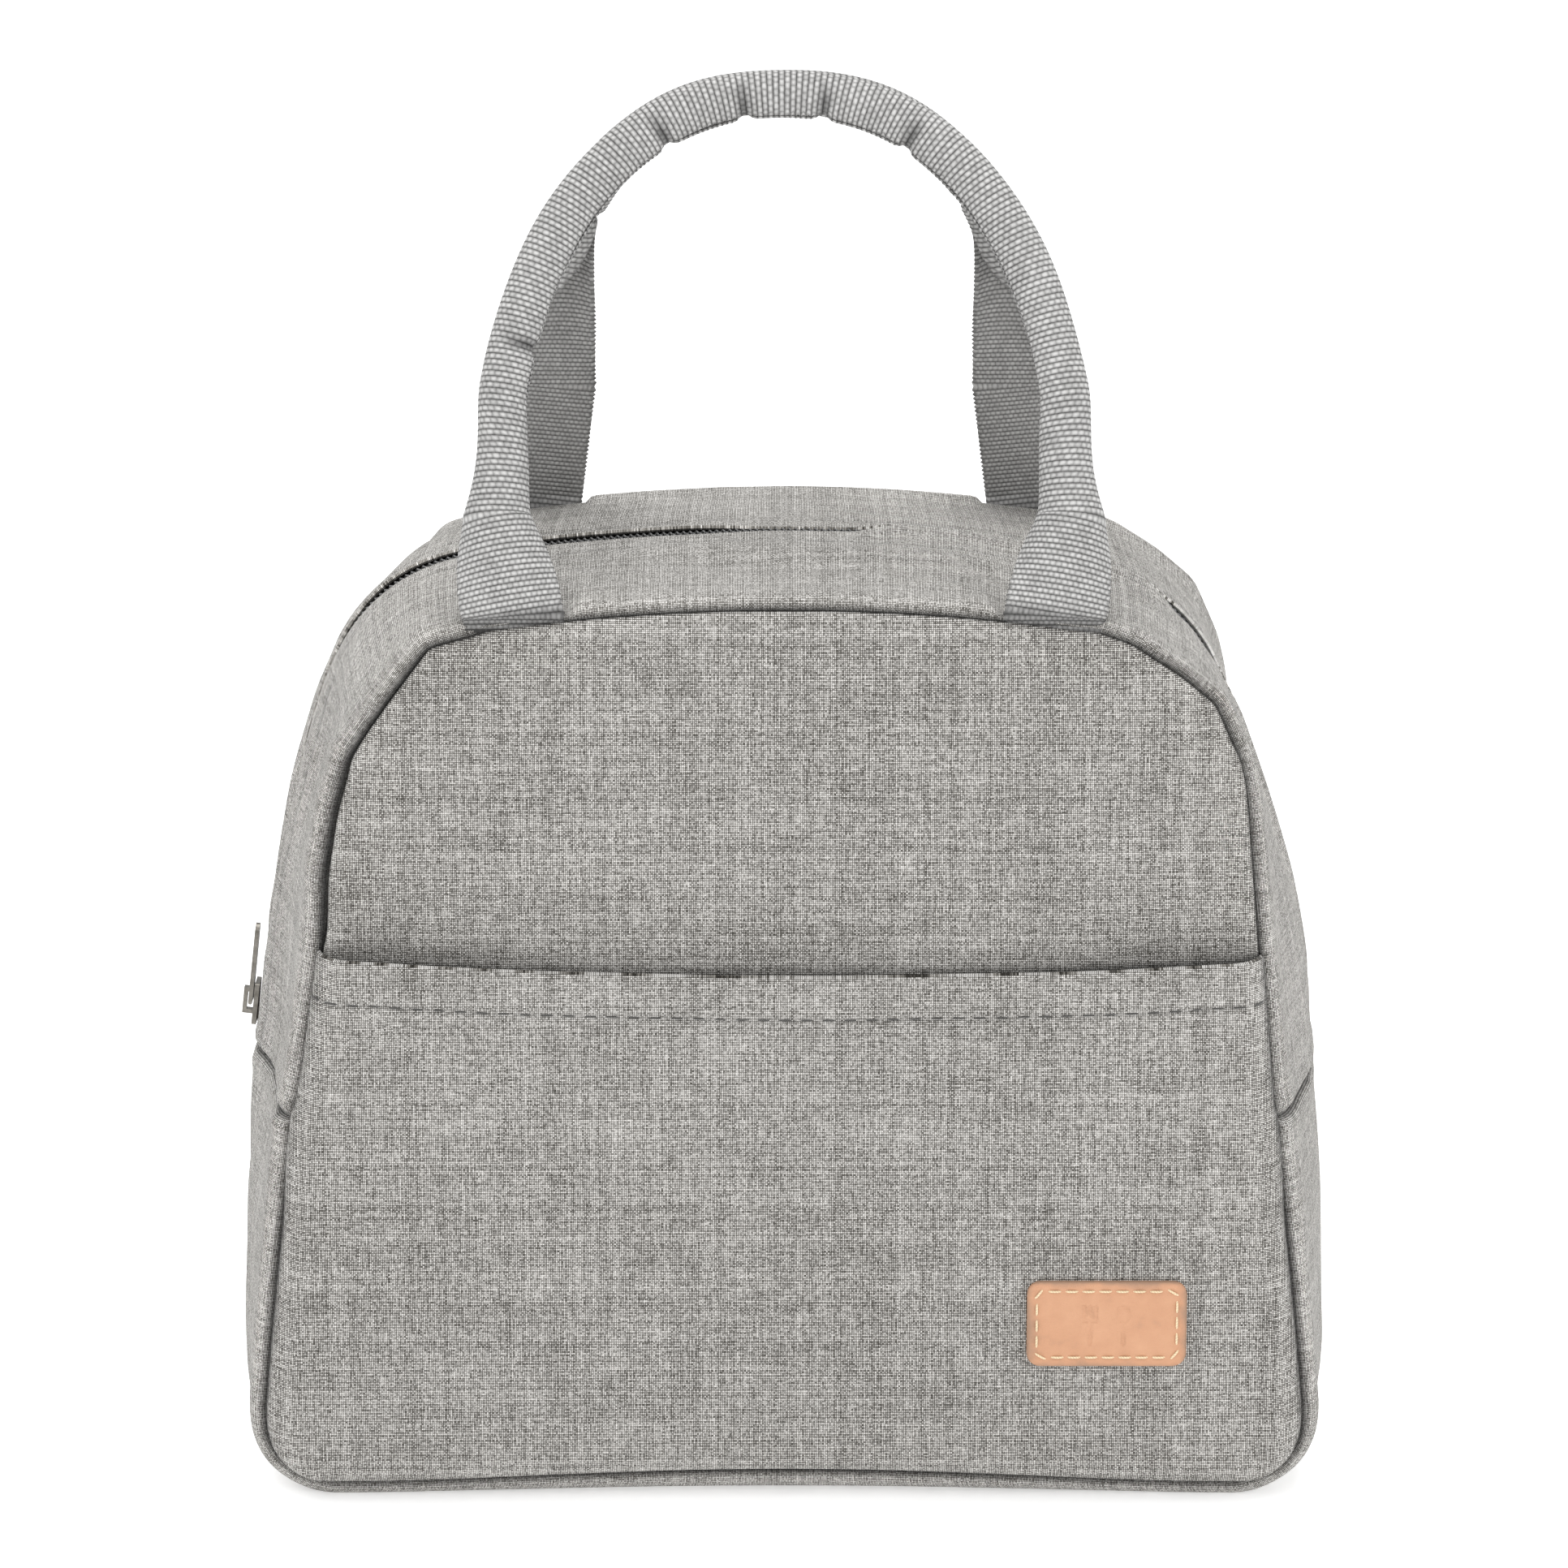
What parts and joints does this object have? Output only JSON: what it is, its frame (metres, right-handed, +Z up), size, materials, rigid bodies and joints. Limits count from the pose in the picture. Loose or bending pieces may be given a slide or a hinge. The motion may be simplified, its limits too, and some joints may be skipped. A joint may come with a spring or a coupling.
{
  "type": "lunch bag",
  "caption": "Soft zipped lunch bag with a domed top, a slip pocket on the front with a leather patch, foam insulation, a wipe-clean lining and webbing carry handles.",
  "frame": {"origin": "on the floor, under the middle of the bag's footprint", "axes": "+Z up; +X to the right as seen from the pocket's side; -Y towards the pocket's side, the front"},
  "size_m": [0.2837, 0.1452, 0.3581],
  "materials": {
    "shell": "matt heather-grey plain weave",
    "foam": "closed-cell foam",
    "lining": "wipe-clean film",
    "webbing": "ribbed webbing",
    "binding": "woven tape",
    "zip": "woven tape and nylon coil",
    "zip_metal": "satin",
    "patch": "smooth",
    "thread": "twisted thread"
  },
  "bodies": {
    "bag_base": {"base_gusset": "shell", "base_foam": "foam", "base_lining": "lining", "front_panel_lower": "shell", "front_foam_lower": "foam", "front_lining_lower": "lining", "back_panel_lower": "shell", "back_foam_lower": "foam", "back_lining_lower": "lining", "front_pocket": "shell", "pocket_stitching": "thread", "leather_patch": "patch", "patch_stitching": "thread", "zip_band_ends": "shell", "zip_end_foam": "foam", "zip_end_lining": "lining", "zip_tape_ends": "zip", "zip_coil_ends": "zip", "zip_stops": "zip_metal", "seam_binding_base": "binding"},
    "front_half": {"front_panel_upper": "shell", "front_foam_upper": "foam", "front_lining_upper": "lining", "front_zip_band": "shell", "front_band_foam": "foam", "front_band_lining": "lining", "front_zip_tape": "zip", "front_zip_coil": "zip", "front_seam_binding": "binding"},
    "back_half": {"back_panel_upper": "shell", "back_foam_upper": "foam", "back_lining_upper": "lining", "back_zip_band": "shell", "back_band_foam": "foam", "back_band_lining": "lining", "back_zip_tape": "zip", "back_zip_coil": "zip", "back_seam_binding": "binding"},
    "zip_slider": {"slider_body": "zip_metal"},
    "zip_puller": {"pull_tab": "zip_metal"},
    "front_carry_handle": {"front_handle_webbing": "webbing", "front_handle_core": "foam"},
    "back_carry_handle": {"back_handle_webbing": "webbing", "back_handle_core": "foam"}
  },
  "joints": [
    {"name": "front_mouth_fold", "type": "hinge", "parent": "bag_base", "child": "front_half", "pos_m": [0, -0.0637, 0.1475], "axis": [1, 0, 0], "range_deg": [0, 30]},
    {"name": "back_mouth_fold", "type": "hinge", "parent": "bag_base", "child": "back_half", "pos_m": [0, 0.0707, 0.1475], "axis": [-1, 0, 0], "range_deg": [0, 30]},
    {"name": "front_handle_swing", "type": "hinge", "parent": "front_half", "child": "front_carry_handle", "pos_m": [0, -0.0647, 0.2319], "axis": [1, 0, 0], "range_deg": [0, 185]},
    {"name": "back_handle_swing", "type": "hinge", "parent": "back_half", "child": "back_carry_handle", "pos_m": [0, 0.0717, 0.2319], "axis": [-1, 0, 0], "range_deg": [0, 185]},
    {"name": "slider_run", "type": "hinge", "parent": "bag_base", "child": "zip_slider", "pos_m": [0.3298, 0.0035, 0.0595], "axis": [0, -1, 0], "range_deg": [-8.8, 0]},
    {"name": "puller_swing", "type": "hinge", "parent": "zip_slider", "child": "zip_puller", "pos_m": [-0.13963, 0.0035, 0.11328], "axis": [0, -1, 0], "range_deg": [0, 170]}
  ]
}
